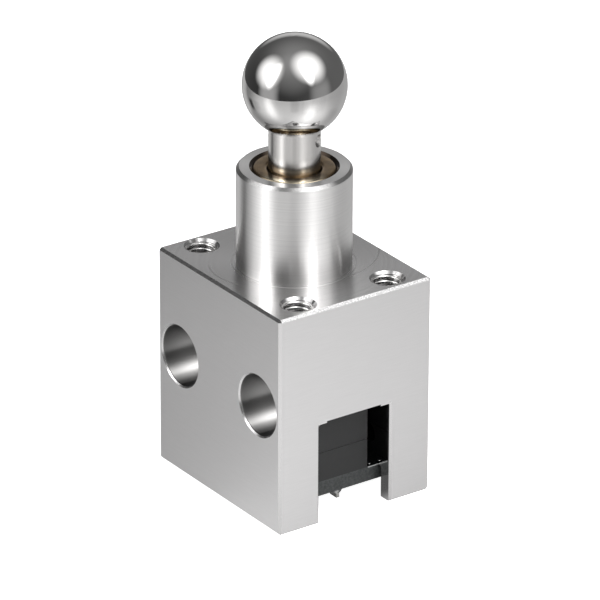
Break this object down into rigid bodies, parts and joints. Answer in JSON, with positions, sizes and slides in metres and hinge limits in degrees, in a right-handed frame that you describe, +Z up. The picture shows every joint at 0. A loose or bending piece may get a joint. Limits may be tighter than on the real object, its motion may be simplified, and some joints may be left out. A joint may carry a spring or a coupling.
{
  "type": "nozzle calibration tool",
  "caption": "Square aluminium block with a collar, a ball-ended probe pin sliding in a bronze bushing, and a snap switch on a board behind an open window.",
  "frame": {"origin": "centre of the block's underside, on the probe pin's axis", "axes": "+Z up along the probe pin to its ball, -Y out of the window that shows the switch, -X out of the counterbored side"},
  "size_m": [0.0176, 0.0204, 0.0458],
  "materials": {
    "machined_aluminium": "milled, clear",
    "sintered_bronze": "oiled sintered bronze",
    "polished_steel": "mirror polished",
    "ground_steel": "ground",
    "steel_fastener": "plain steel",
    "black_switch_plastic": "fine moulded texture",
    "white_button_plastic": "smooth moulded",
    "tinned_brass": "tin plated",
    "solder": "bright solder",
    "contact_copper": "spring copper alloy",
    "silver_contact": "silver contact metal",
    "black_board_laminate": "black solder mask",
    "pale_connector_plastic": "smooth moulded"
  },
  "bodies": {
    "frame": {"housing": "machined_aluminium", "guide_bushing": "sintered_bronze", "circuit_board": "black_board_laminate", "switch_base": "black_switch_plastic", "switch_cover": "black_switch_plastic", "common_terminal": "tinned_brass", "normally_open_terminal": "tinned_brass", "normally_closed_terminal": "tinned_brass", "solder_common": "solder", "solder_normally_open": "solder", "solder_normally_closed": "solder", "open_contact": "silver_contact", "closed_contact": "silver_contact", "lead_connector": "pale_connector_plastic", "lead_pin_1": "tinned_brass", "lead_pin_2": "tinned_brass", "solder_lead_1": "solder", "solder_lead_2": "solder", "board_screw_1": "steel_fastener", "board_screw_2": "steel_fastener", "board_screw_3": "steel_fastener", "board_screw_4": "steel_fastener"},
    "slider": {"retaining_washer": "steel_fastener"},
    "probe_pin": {"probe_ball": "polished_steel", "probe_shaft": "ground_steel", "retaining_screw": "steel_fastener"},
    "button": {"switch_plunger": "white_button_plastic"},
    "contact_arm": {"moving_blade": "contact_copper", "moving_contact": "silver_contact", "spring_leaf": "contact_copper"}
  },
  "joints": [
    {"name": "pin_slide", "type": "slide", "parent": "frame", "child": "slider", "axis": [0, 0, -1], "range_m": [0, 0.0006], "stiffness_N_per_m": 1000, "springref_m": -0.0005},
    {"name": "pin_spin", "type": "hinge", "parent": "slider", "child": "probe_pin", "pos_m": [0, 0, 0.03], "axis": [0, 0, 1], "continuous": true},
    {"name": "plunger_press", "type": "slide", "parent": "frame", "child": "button", "axis": [0, 0, -1], "range_m": [0, 0.0006], "deforming": ["spring_leaf"]},
    {"name": "contact_flip", "type": "hinge", "parent": "frame", "child": "contact_arm", "pos_m": [0, 0.00273, 0.00752], "axis": [1, 0, 0], "range_deg": [0, 3]}
  ],
  "couplings": [
    {"joint": "plunger_press", "follows": "pin_slide", "ratio": 1},
    {"joint": "contact_flip", "follows": "pin_slide", "rad_per_m": 87.266}
  ]
}
